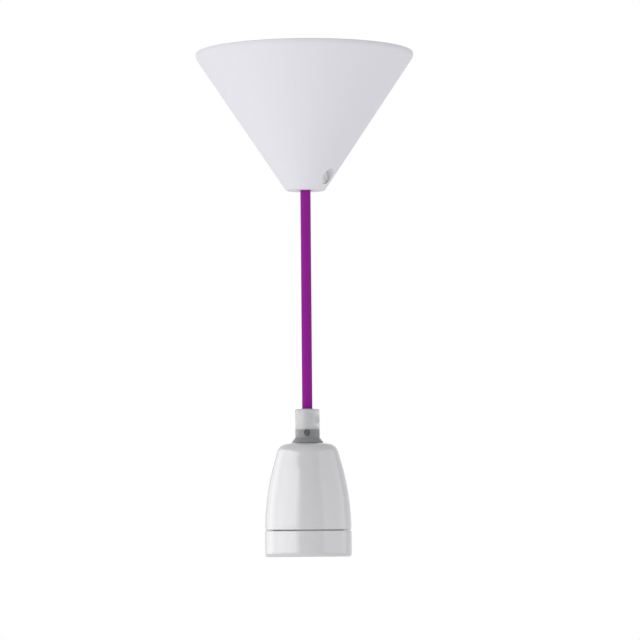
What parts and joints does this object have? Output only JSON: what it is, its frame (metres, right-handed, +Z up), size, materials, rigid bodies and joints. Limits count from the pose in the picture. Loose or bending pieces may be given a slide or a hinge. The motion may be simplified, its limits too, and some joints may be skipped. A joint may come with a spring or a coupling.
{
  "type": "pendant cord set",
  "caption": "Cone shaped ceiling canopy, textile cord with its surplus coiled inside the canopy, clear cord grip and a porcelain screw lamp holder, hung from a steel ceiling strap.",
  "frame": {"origin": "middle of the ceiling strap's upper face, in the plane of the ceiling", "axes": "+Z up into the ceiling, along the cord; +X along the ceiling strap, to the right in the picture; the picture looks along +Y"},
  "size_m": [0.119, 0.119, 0.2749],
  "materials": {
    "canopy_plastic": "smooth matt white moulding",
    "porcelain": "glossy white glaze, opaque",
    "clear_plastic": "clear moulding, slightly milky",
    "purple_textile": "fine braided textile sleeve",
    "zinc_steel": "bright zinc plate",
    "brass": "bright rolled sheet and turned rod",
    "white_nylon": "satin moulding",
    "brown_insulation": "smooth extruded sleeve",
    "blue_insulation": "smooth extruded sleeve"
  },
  "bodies": {
    "root": {"anchor_clamp": "white_nylon", "anchor_pin": "zinc_steel", "anchor_screw_1": "zinc_steel", "anchor_screw_2": "zinc_steel", "block_screw": "zinc_steel", "canopy": "canopy_plastic", "canopy_screw": "white_nylon", "ceiling_strap": "zinc_steel", "centre_contact": "brass", "coil_tie_1": "white_nylon", "coil_tie_2": "white_nylon", "contact_block": "porcelain", "contact_rivet": "brass", "cord_anchor": "white_nylon", "cord_coil": "purple_textile", "cord_drop": "purple_textile", "cord_grip": "clear_plastic", "cord_tail": "purple_textile", "grip_screw": "clear_plastic", "holder_wire_blue": "blue_insulation", "holder_wire_brown": "brown_insulation", "lock_screw": "zinc_steel", "nipple": "zinc_steel", "nipple_nut": "zinc_steel", "nipple_washer": "zinc_steel", "pin_clip": "zinc_steel", "pole_1": "brass", "pole_2": "brass", "pole_screw_1": "zinc_steel", "pole_screw_2": "zinc_steel", "pole_screw_3": "zinc_steel", "pole_screw_4": "zinc_steel", "porcelain_dome": "porcelain", "porcelain_ring": "porcelain", "shell_rivet_1": "brass", "shell_rivet_2": "brass", "supply_wire_blue": "blue_insulation", "supply_wire_brown": "brown_insulation", "terminal_block": "white_nylon", "terminal_left": "brass", "terminal_right": "brass", "terminal_screw_left": "zinc_steel", "terminal_screw_right": "zinc_steel", "thread_shell": "brass"}
  },
  "joints": []
}
